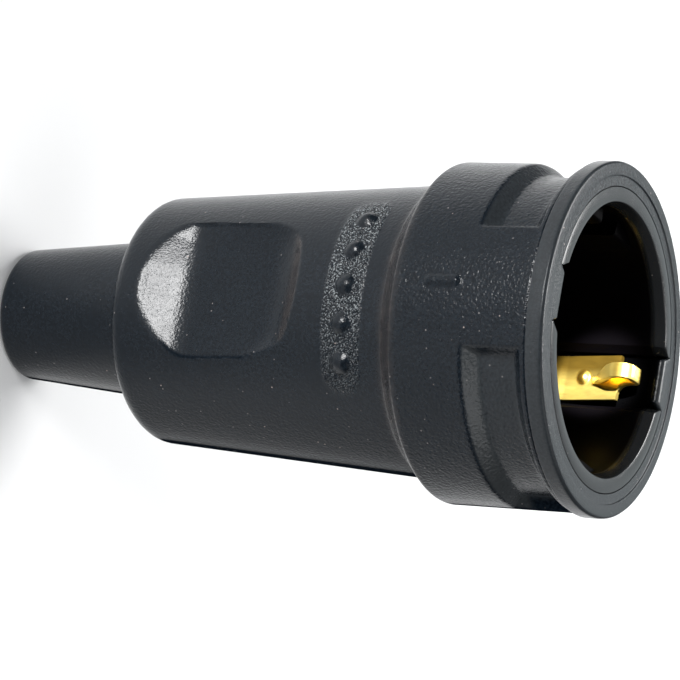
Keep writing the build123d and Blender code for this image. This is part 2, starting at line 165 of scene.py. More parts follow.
# ---------------------------------------------------------------------------
# node material helpers
# ---------------------------------------------------------------------------
class Mat:
    def __init__(self, name):
        self.m = bpy.data.materials.new(name)
        self.m.use_nodes = True
        self.t = self.m.node_tree
        self.b = self.t.nodes["Principled BSDF"]
        self.co = self.t.nodes.new("ShaderNodeTexCoord").outputs["Object"]

    def link(self, a, b):
        self.t.links.new(a, b)

    def _in(self, socket, value):
        if isinstance(value, bpy.types.NodeSocket):
            self.link(value, socket)
        else:
            socket.default_value = value

    def noise(self, scale, detail=2.0, rough=0.5, stretch=None, offset=None, distort=0.0):
        n = self.t.nodes.new("ShaderNodeTexNoise")
        n.inputs["Scale"].default_value = scale
        n.inputs["Detail"].default_value = detail
        n.inputs["Roughness"].default_value = rough
        n.inputs["Distortion"].default_value = distort
        self.link(self.place(stretch, offset), n.inputs["Vector"])
        return n.outputs["Fac"]

    def place(self, stretch=None, offset=None):
        if stretch is None and offset is None:
            return self.co
        p = self.t.nodes.new("ShaderNodeMapping")
        if stretch is not None:
            p.inputs["Scale"].default_value = stretch
        if offset is not None:
            p.inputs["Location"].default_value = offset
        self.link(self.co, p.inputs["Vector"])
        return p.outputs["Vector"]

    def voronoi(self, scale, feature="F1", stretch=None, offset=None):
        n = self.t.nodes.new("ShaderNodeTexVoronoi")
        n.feature = feature
        n.inputs["Scale"].default_value = scale
        self.link(self.place(stretch, offset), n.inputs["Vector"])
        return n

    def ramp(self, value, lo, hi, to_lo=0.0, to_hi=1.0):
        n = self.t.nodes.new("ShaderNodeMapRange")
        n.clamp = True
        self.link(value, n.inputs["Value"])
        n.inputs["From Min"].default_value = lo
        n.inputs["From Max"].default_value = hi
        n.inputs["To Min"].default_value = to_lo
        n.inputs["To Max"].default_value = to_hi
        return n.outputs["Result"]

    def math(self, op, a, b=None):
        n = self.t.nodes.new("ShaderNodeMath")
        n.operation = op
        self._in(n.inputs[0], a)
        if b is not None:
            self._in(n.inputs[1], b)
        return n.outputs[0]

    def mix(self, fac, a, b):
        n = self.t.nodes.new("ShaderNodeMix")
        n.data_type = "RGBA"
        self._in(n.inputs["Factor"], fac)
        self._in(n.inputs["A"], a)
        self._in(n.inputs["B"], b)
        return n.outputs["Result"]

    def attr(self, name):
        n = self.t.nodes.new("ShaderNodeAttribute")
        n.attribute_name = name
        return n.outputs["Fac"]

    def bump(self, height, distance, strength=1.0, normal=None):
        n = self.t.nodes.new("ShaderNodeBump")
        n.inputs["Distance"].default_value = distance
        self._in(n.inputs["Strength"], strength)
        self.link(height, n.inputs["Height"])
        if normal is not None:
            self.link(normal, n.inputs["Normal"])
        return n.outputs["Normal"]

    def set(self, **kw):
        names = {
            "color": "Base Color",
            "rough": "Roughness",
            "metal": "Metallic",
            "ior": "IOR",
            "normal": "Normal",
            "spec": "Specular IOR Level",
        }
        for k, v in kw.items():
            self._in(self.b.inputs[names[k]], v)
        return self.m


def speck_mask(mat, scale, radius, share, offset):
    """Tiny grains of dust: a few of the cells hold a spot."""
    v = mat.voronoi(scale, offset=offset)
    near = mat.ramp(v.outputs["Distance"], radius, radius * 0.55)
    sep = mat.t.nodes.new("ShaderNodeSeparateColor")
    mat.link(v.outputs["Color"], sep.inputs["Color"])
    chosen = mat.math("LESS_THAN", sep.outputs["Red"], share)
    return mat.math("MULTIPLY", near, chosen)


def rubber_material():
    m = Mat("moulded_rubber")
    cloud = m.noise(95.0, 3.0, 0.55)
    fine = m.noise(2300.0, 2.0, 0.55)
    tone = m.mix(m.ramp(cloud, 0.32, 0.68), (0.0046, 0.0080, 0.0122, 1), (0.0068, 0.0108, 0.0158, 1))
    tone = m.mix(m.ramp(fine, 0.40, 0.62), tone, (0.0026, 0.0048, 0.0078, 1))
    # painted light on the fillet behind the collar mixed with dust there, and a band near the front of the scoops: a
    # lighter brownish tone
    corner = m.math("MULTIPLY", m.attr("dust_and_painted_light"), m.ramp(m.noise(620.0, 4.0, 0.65), 0.34, 0.68, 0.25, 0.95))
    tone = m.mix(corner, tone, (0.088, 0.072, 0.064, 1))
    xyz = m.t.nodes.new("ShaderNodeSeparateXYZ")
    m.link(m.co, xyz.inputs["Vector"])
    share = m.ramp(xyz.outputs["X"], -0.010, 0.018, 0.10, 0.34)
    specks = speck_mask(m, 800.0, 0.115, share, (0.0131, 0.0072, 0.0043))
    lint = speck_mask(m, 520.0, 0.075, m.ramp(xyz.outputs["X"], -0.010, 0.018, 0.10, 0.30), (0.0013, 0.0327, 0.0193))
    tone = m.mix(m.math("MULTIPLY", specks, 0.45), tone, (0.34, 0.31, 0.30, 1))
    tone = m.mix(m.math("MULTIPLY", lint, 0.7), tone, (0.44, 0.36, 0.33, 1))
    # painted light: a pale lighter tone on the flange, the key lips, the recess walls and the side at +X
    pale_painted_light = m.attr("pale_painted_light")
    pale = m.mix(m.ramp(fine, 0.36, 0.66), (0.112, 0.119, 0.118, 1), (0.097, 0.104, 0.105, 1))
    tone = m.mix(pale_painted_light, tone, pale)
    # painted shade: the rubber inside the mouth and the bore is made near black
    inside_shade = m.attr("inside_shade")
    tone = m.mix(inside_shade, tone, (0.0006, 0.0006, 0.0007, 1))
    rough = m.ramp(m.noise(260.0, 3.0, 0.6), 0.3, 0.7, 0.18, 0.24)
    rough = m.math("ADD", rough, m.math("MULTIPLY", pale_painted_light, 0.10))
    film = m.math("MAXIMUM", m.attr("film"), inside_shade)
    gloss = m.ramp(film, 0.0, 1.0, 0.5, 0.0)
    patch = m.attr("patch")
    cells = m.voronoi(3800.0, "SMOOTH_F1")
    # painted highlight: the grain tips get a pale colour that stands in for sparkle
    painted_sparkle_tips = m.math("MULTIPLY", patch, m.ramp(cells.outputs["Distance"], 0.40, 0.16, 0.0, 0.9))
    # the painted sparkle fades towards +X, one end of the row
    painted_sparkle_tips = m.math("MULTIPLY", painted_sparkle_tips, m.ramp(xyz.outputs["X"], 0.001, 0.0115, 1.0, 0.22))
    tone = m.mix(painted_sparkle_tips, tone, (0.30, 0.325, 0.335, 1))
    peel = m.bump(m.noise(2100.0, 1.0, 0.4), 0.00012, m.attr("skin"))
    grain = m.bump(m.noise(5000.0, 1.0, 0.5, stretch=(1.0, 1.0, 0.62)), 0.00005, 0.6, peel)
    coarse = m.bump(cells.outputs["Distance"], 0.00034, patch, grain)
    return m.set(color=tone, rough=rough, ior=1.365, spec=gloss, normal=coarse)


def plastic_material():
    m = Mat("black_insert")
    cloud = m.noise(140.0, 3.0, 0.55)
    tone = m.mix(m.ramp(cloud, 0.35, 0.65), (0.0090, 0.0100, 0.0108, 1), (0.0112, 0.0122, 0.0130, 1))
    specks = speck_mask(m, 700.0, 0.10, 0.10, (0.0031, 0.0172, 0.0243))
    tone = m.mix(m.math("MULTIPLY", specks, 0.4), tone, (0.25, 0.22, 0.20, 1))
    rough = m.ramp(m.noise(420.0, 3.0, 0.6), 0.3, 0.7, 0.17, 0.23)
    depth = m.t.nodes.new("ShaderNodeSeparateXYZ")
    m.link(m.co, depth.inputs["Vector"])
    rough = m.math("ADD", rough, m.ramp(depth.outputs["Z"], 0.0981, 0.0975, 0.0, 0.25))
    xyz = m.t.nodes.new("ShaderNodeSeparateXYZ")
    m.link(m.co, xyz.inputs["Vector"])
    gloss = m.ramp(xyz.outputs["Z"], 0.0975, 0.0981, 0.022, 0.5)
    # painted shade: the insert is darker inside the mouth, from just below the rim down
    tone = m.mix(m.ramp(xyz.outputs["Z"], 0.0982, 0.0975), tone, (0.0011, 0.0009, 0.0012, 1))
    n = m.bump(m.noise(2600.0, 2.0, 0.5), 0.000012, 0.6)
    return m.set(color=tone, rough=rough, ior=1.42, spec=gloss, normal=n)


def brass_material():
    m = Mat("rolled_brass")
    cloud = m.noise(160.0, 3.0, 0.6)
    tone = m.mix(m.ramp(cloud, 0.3, 0.7), (0.95, 0.70, 0.16, 1), (0.98, 0.77, 0.21, 1))
    lines = m.noise(900.0, 3.0, 0.6, stretch=(6.0, 6.0, 0.35))
    tone = m.mix(m.ramp(lines, 0.45, 0.75, 0.0, 0.35), tone, (0.88, 0.50, 0.07, 1))
    # painted shade: darker gold towards one edge of the strip, on the dimple's half towards -Z, in a band at the
    # finger's root and at its tip
    tone = m.mix(m.attr("brass_painted_shade"), tone, (0.205, 0.115, 0.010, 1))
    rough = m.ramp(m.noise(600.0, 3.0, 0.6, stretch=(3.0, 3.0, 0.5)), 0.3, 0.7, 0.28, 0.36)
    n = m.bump(lines, 0.000012, 0.6)
    metal = m.ramp(cloud, 0.3, 0.7, 0.90, 0.94)
    return m.set(color=tone, rough=rough, metal=metal, normal=n)


def steel_material():
    m = Mat("zinc_plated_steel")
    cloud = m.noise(300.0, 3.0, 0.6)
    tone = m.mix(m.ramp(cloud, 0.3, 0.7), (0.50, 0.51, 0.53, 1), (0.66, 0.67, 0.68, 1))
    rough = m.ramp(m.noise(700.0, 3.0, 0.6), 0.3, 0.7, 0.26, 0.40)
    n = m.bump(m.noise(2000.0, 2.0, 0.5), 0.00001, 0.5)
    return m.set(color=tone, rough=rough, metal=1.0, normal=n)


RUBBER = rubber_material()
PLASTIC = plastic_material()
BRASS = brass_material()
STEEL = steel_material()


# ---------------------------------------------------------------------------
# rubber housing: one closed skin on a polar grid
# ---------------------------------------------------------------------------
def body_radius(z):
    return 18.85 + 3.1 * (z - 25.0) / 48.0


def row_step(r, z):
    for top, step in (
        (1.0, 1.3), (2.0, 0.8), (24.0, 2.2), (28.6, 0.7), (39.5, 0.50), (51.5, 1.2), (60.0, 0.42),
        (62.6, 0.6), (69.8, 0.29), (72.0, 0.6), (77.0, 0.5), (80.3, 0.8), (86.9, 0.34),
        (89.7, 0.28), (94.3, 0.8), (97.0, 0.22), (99.3, 0.6),
    ):
        if z < top:
            return step
    return 0.5


SCOOP = fillet_path(
    [(26.0, 21.2, 0.0), (31.3, 18.62, 8.0), (37.6, 16.42, 9.0), (55.0, 17.40, 9.8), (62.2, 26.2, 0.0)],
    lambda u, v: 2.0,
    arc_step=3.0,
)


def scoop_depth(z):
    """Distance of the thumb scoop's floor from the axis: a flat with a sloping wall at each end."""
    return np.interp(z, SCOOP[:, 0], SCOOP[:, 1])


def side_angle(theta):
    """Angle in degrees from the nearer of the two grip sides, at -Y and +Y."""
    return (theta + 90.0 + 90.0) % 180.0 - 90.0


def housing():
    corners = [
        (5.0, 0.0, 0.0), (10.15, 0.0, 1.5), (12.4, 25.0, 1.0), (18.85, 25.0, 3.0), (21.95, 73.0, 1.2),
        (25.4, 76.0, 0.9), (25.4, 96.95, 0.12), (25.29, 97.22, 0.08), (26.0, 97.50, 0.2), (26.0, 100.0, 0.5),
        (24.0, 100.0, 0.1),
        (23.85, 99.8, 0.1), (22.4, 99.8, 0.0),
    ]
    prof = fillet_path(corners, row_step)

    # angles: fine on the grip sides and on the pad flanks
    key_edge = 10.5
    th = []
    for c in (-90.0, 90.0):
        th += list(c + np.arange(-35.0, 35.01, 0.7))
        th += [c - key_edge - 0.1, c + key_edge + 0.1]
        th += [c - 31.15, c - 32.55, c + 32.55, c + 31.15]
    for e in (9.5, 50.5, 129.5, 170.5):
        th += list(e + np.arange(-5.6, 3.51, 0.7) if e in (9.5, 129.5) else e + np.arange(-3.5, 5.61, 0.7))
    th = sorted(th)
    full = []
    for a, b in zip(th, th[1:] + [th[0] + 360.0]):
        n = max(1, int(math.ceil((b - a) / 2.1)))
        full += [a + (b - a) * k / n for k in range(n)]
    th = np.array(full)
    side = side_angle(th)

    r = np.repeat(prof[:, :1], len(th), 1)
    z = np.repeat(prof[:, 1:], len(th), 1)
    t = np.repeat(th[None, :], len(prof), 0)
    s = np.repeat(side[None, :], len(prof), 0)

    # thumb scoops
    lean = np.radians(np.clip(np.abs(s), 0, 70))
    hand = np.where(np.sin(np.radians(t)) < 0, 1.0, -1.0) * np.sign(s)
    reach = np.minimum(17.2 * np.tan(lean), 14.0)
    z_in = z + 3.2 * np.clip((reach - 6.0) / 4.4, 0.0, 1.0) ** 2.2 * sstep(z, 40.0, 48.0)
    deep = scoop_depth(z_in) - np.where(hand < 0, 0.42, 0.0) * np.clip((reach - 3.0) / 5.0, 0.0, 1.0) ** 1.2 * sstep(z, 43.0, 37.0)
    wide = np.where(hand < 0, 10.15, 10.75)
    steep = np.cos(lean) - 1.5 * np.sin(lean)
    scoop = np.where(deep * np.tan(lean) > wide, np.where(steep > 0.01, (deep - 1.5 * wide) / np.clip(steep, 0.01, None), 40.0), 0.0)
    scoop = np.maximum(scoop, deep / np.cos(lean))
    body = (z > 26.0) & (z < 62.0)
    outside = r
    r = np.where(body, smin(r, scoop, 0.40), r)
    sunk = outside - r
    in_scoop = sstep(sunk, 0.02, 0.25)

    # roughened grip patch, slightly proud, and its five bumps
    lo_s = np.where(s < 0, -38.0, 38.0)
    arc = np.radians(np.clip(np.abs(s) - 34.5, 0.0, None)) * 21.5
    across = np.abs(z - 66.15)
    edge = np.hypot(arc, np.clip(across - 0.0, 0.0, None)) - 3.15
    patch = sstep(-edge, -0.25, 0.35)
    patch = np.where((z > 60.0) & (z < 72.0), patch, 0.0)
    rng = np.random.default_rng(7)
    grain = rng.normal(0.0, 1.0, r.shape)
    bumps = np.zeros_like(r)
    for k in (-2, -1, 0, 1, 2):
        d = np.hypot(np.radians(s - 15.2 * k) * 21.6, z - 66.35) / 1.75
        bumps = np.maximum(bumps, np.clip(1.0 - d * d, 0.0, None))
    patch = patch * (1.0 - sstep(bumps, 0.0, 0.2))
    r = r + np.where(edge < 0.3, sstep(-edge, -0.12, 0.12) * 0.13, 0.0) * ((z > 60.0) & (z < 72.0)) + patch * 0.045 * grain
    for k in (-2, -1, 0, 1, 2):
        d = np.hypot(np.radians(s - 15.2 * k) * 21.6, z - 66.35) / 1.75
        dome = 0.88 * np.clip(1.0 - d * d, 0.0, None) ** 1.1
        r = r + np.where((z > 60.0) & (z < 72.0), dome, 0.0)

    # recesses between the collar pads
    c = (t + 30.0 + 60.0) % 120.0 - 60.0
    walls = np.maximum(25.4 - (z - 87.2), 25.4 - (96.4 - z) * (2.0 / 1.5))
    floor = np.maximum(23.4, walls)
    floor = smax(np.full_like(floor, 23.4), walls, 0.5)
    flank = 23.4 + (np.abs(c) - 36.0) * (2.0 / 3.5)
    rec = smax(floor, flank, 0.5)
    collar = (z > 84.0) & (z < 98.4) & (prof[:, :1] > 24.0)
    r = np.where(collar, smin(r, rec, 0.35), r)

    # index tick on the pad that faces -Y
    x = np.radians(t + 90.0) * 25.4
    w = np.maximum(np.abs(x) / 0.62, 0.0)
    along = np.clip(np.abs(z - 83.6) - 2.05, 0.0, None)
    dist = np.hypot(x, along)
    bar = 0.45 * sstep(dist, 0.82, 0.42)
    r = r + np.where((z > 79.0) & (z < 88.0) & (np.abs(t + 90.0) < 6.0), bar, 0.0)

    rad = np.radians(t)
    outer = np.stack([r * np.cos(rad), r * np.sin(rad), z], 2)

    # inner rows: keys in the earth slots, the seat, the chamber and the cable bore
    off = side
    in_key = np.abs(off) <= key_edge + 0.02
    key_x = 22.4 * np.sin(np.radians(off)) * np.where(np.sin(np.radians(th)) < 0, 1.0, -1.0)
    key_s = np.where(np.sin(np.radians(th)) < 0, -1.0, 1.0)
    rows = [outer]
    corner = sstep(np.abs(key_x), 3.3, 4.1)
    for kz, ky, oz in (
        (99.80, 20.75, 99.72), (99.77, 20.45, 99.62), (99.66, 20.20, 99.5), (99.45, 20.04, 99.3), (99.10, 19.95, 99.0),
        (98.60, 19.92, 98.6), (97.95, 20.00, 98.2), (97.68, 20.20, 97.9), (97.60, 20.50, 97.5), (97.60, 21.55, 97.0),
        (82.70, 21.55, 83.0), (82.70, 22.30, 82.5),
    ):
        ring = np.stack([22.4 * np.cos(np.radians(th)), 22.4 * np.sin(np.radians(th)), np.full(len(th), oz)], 1)
        depth = ky + np.clip(21.75 - ky, 0.0, None) * corner
        key = np.stack([key_x, key_s * depth, np.full(len(th), kz)], 1)
        rows.append(np.where(in_key[:, None], key, ring)[None])
    for rr, zz in ((22.4, 79.0), (18.4, 79.0), (18.4, 57.8), (14.2, 57.8), (14.2, 36.0), (5.0, 28.0), (5.0, 14.0), (5.0, 0.4)):
        rows.append(np.stack([rr * np.cos(np.radians(th)), rr * np.sin(np.radians(th)), np.full(len(th), zz)], 1)[None])
    pts = np.concatenate(rows, 0)
    sh = Shell()
    sh.grid(pts, wrap_u=True, wrap_v=True, flip=True)
    obj = make_object("rubber_moulding", sh.v, sh.f, sharp=50)
    full_patch = np.zeros(pts.shape[:2], np.float32)
    full_patch[: len(prof)] = patch
    # dust and painted light: lighter brownish tone in the corner behind the collar and in a band near the front of the
    # scoops
    dust_and_painted_light = 0.34 * np.exp(-(((z - 73.3) / 0.8) ** 2)) + 0.30 * np.exp(-(((z - 75.8) / 0.7) ** 2)) + 0.25 * sstep(z, 73.0, 73.8) * sstep(z, 76.2, 75.4)
    dust_and_painted_light = dust_and_painted_light + 0.5 * in_scoop * sstep(z, 54.6, 56.6) * sstep(z, 59.4, 57.6)
    full_dust_and_painted_light = np.zeros(pts.shape[:2], np.float32)
    full_dust_and_painted_light[: len(prof)] = np.clip(dust_and_painted_light, 0.0, 1.0)
    # painted light: pale lighter tone on the mouth flange, the key lips and the recess walls; dull film on the flank at
    # +X; painted shade: near-black rubber inside
    full_pale_painted_light = np.zeros(pts.shape[:2], np.float32)
    # painted light: the recess centred at -30 degrees gets a paler rear wall and floor than the other two
    near = np.abs((t + 30.0 + 180.0) % 360.0 - 180.0) < 45.0
    bed = sstep(25.4 - r, 1.2, 1.9) * np.where(near, 0.10, 0.03) * ((z > 86.0) & (z < 97.0))
    rear = sstep(25.4 - r, 0.05, 0.4) * sstep(z, 86.8, 87.5) * sstep(z, 90.1, 89.0) * np.where(near, 0.30, 0.16)
    full_pale_painted_light[: len(prof)] = 0.17 * sstep(z, 97.15, 97.6) + np.where(prof[:, :1] > 24.0, np.maximum(rear, bed), 0.0)
    full_pale_painted_light[len(prof) : len(prof) + 4] = np.array([0.25, 0.3, 0.3, 0.15])[:, None]
    # painted light: a pale lift on the side at +X
    turn = (t + 180.0) % 360.0 - 180.0
    side_painted_light = 0.15 * sstep(turn, 14.0, 36.0) * sstep(turn, 82.0, 56.0) * sstep(z, 97.3, 96.5) * sstep(z, 0.5, 3.0)
    full_pale_painted_light[: len(prof)] = np.maximum(full_pale_painted_light[: len(prof)], side_painted_light)
    full_inside_shade = np.zeros(pts.shape[:2], np.float32)
    full_inside_shade[len(prof) + 4] = 0.7
    full_inside_shade[len(prof) + 5 :] = 1.0
    film = 0.87 * sstep(turn, -48.0, -7.0) * sstep(turn, 36.0, 22.0) * sstep(z, 24.0, 29.0) * (1.0 - 0.55 * sstep(z, 73.0, 76.0)) * sstep(z, 97.3, 96.7)
    seam = sstep(turn, -8.0 + 7.0 * sstep(z, 75.0, 76.5), 8.0 * sstep(z, 75.0, 76.5)) * sstep(turn, 30.0, 20.0) * sstep(z, 97.3, 96.7)
    film = 1.0 - (1.0 - film) * (1.0 - seam)
    worn = 0.24 * in_scoop * sstep(z, 37.5, 40.0) + 0.22 * sstep(z, 76.0, 78.0) * sstep(z, 97.0, 96.0) * sstep(turn, -128.0, -112.0) * sstep(turn, -66.0, -80.0)
    film = np.maximum(film, worn)
    # dark line along the long edges of the scoops
    cut = np.where(body & (np.abs(s) < 45.0), sunk, 0.0)
    rim = np.exp(-(((cut - 0.20) / 0.17) ** 2)) * sstep(cut, 0.01, 0.08) * sstep(reach, 6.0, 8.8) * sstep(z, 33.5, 36.0) * sstep(z, 58.0, 55.0)
    film = np.maximum(film, rim * np.where(hand > 0, 0.92, 0.30))
    # the front of the flange is rubbed dull at -X and along its edge
    front = 0.46 * sstep(z, 99.5, 99.8) * sstep(np.cos(rad), 0.2, -0.7)
    front = np.maximum(front, 0.48 * sstep(z, 99.40, 99.55) * sstep(prof[:, :1], 25.45, 25.6))
    film = np.maximum(film, front)
    skin = 0.5 + 0.4 * sstep(z, 75.5, 77.0) - 0.3 * in_scoop * sstep(z, 38.5, 35.0) - 0.76 * sstep(z, 96.9, 97.4)
    full_skin = np.full(pts.shape[:2], 0.12, np.float32)
    full_skin[: len(prof)] = skin
    full_film = np.zeros(pts.shape[:2], np.float32)
    full_film[: len(prof)] = film
    for name, value in (("patch", full_patch), ("dust_and_painted_light", full_dust_and_painted_light), ("pale_painted_light", full_pale_painted_light), ("inside_shade", full_inside_shade), ("film", full_film), ("skin", full_skin)):
        a = obj.data.attributes.new(name, "FLOAT", "POINT")
        a.data.foreach_set("value", value.reshape(-1))
    obj.data.materials.append(RUBBER)
    print("housing grid", pts.shape, "triangles", 2 * len(sh.f))
    return obj


# ---------------------------------------------------------------------------
# socket cup: two wall halves and the floor with its pin holes
# ---------------------------------------------------------------------------
def circle(r, n, cx=0.0, cy=0.0, start=0.0):
    a = start + np.arange(n) * 2 * math.pi / n
    return np.stack([cx + r * np.cos(a), cy + r * np.sin(a)], 1)


def plate(shell, outer, holes, z_low, z_top, sink=None):
    """Flat plate between two heights; each hole is (loop at the top, loop further down, its height)."""
    loops = [outer] + [h[0] for h in holes]
    pts, edges = [], []
    for l in loops:
        n = len(pts)
        pts += [Vector(p) for p in l]
        edges += [(n + i, n + (i + 1) % len(l)) for i in range(len(l))]

    def inside(p):
        if p[0] ** 2 + p[1] ** 2 > max(o[0] ** 2 + o[1] ** 2 for o in outer):
            return False
        for h in holes:
            c = h[0].mean(0)
            if np.hypot(*(p - c)) < np.hypot(*(h[0][0] - c)) * 0.999:
                return False
        return True

    v, _, f, *_ = delaunay_2d_cdt(pts, edges, [], 0, 1e-6)
    v = np.array([(p.x, p.y) for p in v])
    tri = [face for face in f if inside(v[list(face)].mean(0))]
    top = np.column_stack([v, np.full(len(v), z_top)])
    low = np.column_stack([v, np.full(len(v), z_low)])
    shell.add(top, tri)
    shell.add(low, [face[::-1] for face in tri])

    def wall(levels):
        pts = np.stack([np.column_stack([l, np.full(len(l), h)]) for l, h in levels])
        shell.grid(pts, wrap_v=True)

    wall([(outer, z_low), (outer, z_top)])
    for loop, lower, h in holes:
        wall([(loop, z_top), (lower, h), (lower, z_low)])


def cup():
    sh = Shell()
    recess, slot = 19.53, 4.2
    a0 = math.degrees(math.asin(slot / recess))
    al = list(a0 + np.linspace(0.0, 2.64, 5)) + list(np.linspace(a0 + 3.4, 59.0, 26))
    al += list(np.linspace(60.0, 80.6, 16)) + [81.2, 81.5] + list(np.linspace(82.5, 90.0, 6))
    al = np.array(al + [180.0 - a for a in al[::-1]][1:])
    frac = (al - a0) / (180.0 - 2 * a0)
    end = np.radians(np.minimum(al - a0, 180.0 - a0 - al)) * recess
    notch = 1.55 * np.clip(1.0 - end / 0.95, 0.0, None)
    ledge = np.minimum(recess, 16.9 / np.maximum(np.sin(np.radians(al)), 0.2))
    ledge = np.where((al > 81.35) & (al < 98.65), recess, ledge)
    base = recess + notch
    led = np.minimum(base, np.where(notch > 0, base, ledge))
    rows = []

    def row(r, z):
        r = np.broadcast_to(np.asarray(r, float), al.shape)
        start = np.degrees(np.arcsin(slot / r))
        ang = np.radians(start + frac * (180.0 - 2 * start))
        rows.append(np.stack([r * np.sin(ang), -r * np.cos(ang), np.full(len(al), z)], 1))

    row(22.3, 79.0)
    row(22.3, 88.0)
    row(22.3, 99.66)
    row(22.285, 99.74)
    row(22.24, 99.785)
    row(22.18, 99.8)
    row(np.maximum(21.2, base + 0.8), 99.8)
    row(base + 0.74, 99.8)
    row(base + 0.62, 99.765)
    row(base + 0.53, 99.66)
    row(base + 0.47, 99.48)
    row(base + 0.08, 98.5)
    row(base + 0.02, 98.3)
    row(base, 98.05)
    row(base, 96.2)
    row(base, 96.12)
    row(np.minimum(base, led + 0.55), 96.1)
    row(np.minimum(base, led + 0.30), 96.04)
    row(np.minimum(base, led + 0.10), 95.84)
    row(led, 95.55)
    row(led, 90.0)
    row(led, 82.3)
    row(led, 79.0)
    pts = np.array(rows)
    for sx in (1.0, -1.0):
        half = pts * np.array([sx, 1.0, 1.0])
        sh.grid(half, wrap_u=True, flip=sx > 0)
        n = len(half)
        for j, rev in ((0, sx < 0), (len(al) - 1, sx > 0)):
            loop = list(range(n))
            sh.add(half[:, j], [tuple(loop[::-1] if rev else loop)])
    holes = [
        (circle(3.4, 40, sx * 9.5), circle(2.8, 40, sx * 9.5), 81.81) for sx in (1, -1)
    ]
    plate(sh, circle(recess + 0.25, 120), holes, 79.2, 82.5)
    obj = make_object("socket_insert", sh.v, sh.f, sharp=32)
    obj.data.materials.append(PLASTIC)
    return obj


# ---------------------------------------------------------------------------
# earth bow: bent strip with a tapered finger at each end
# ---------------------------------------------------------------------------
def arm_mid(z):
    return 21.1 - 0.1828 * (z - 84.0)


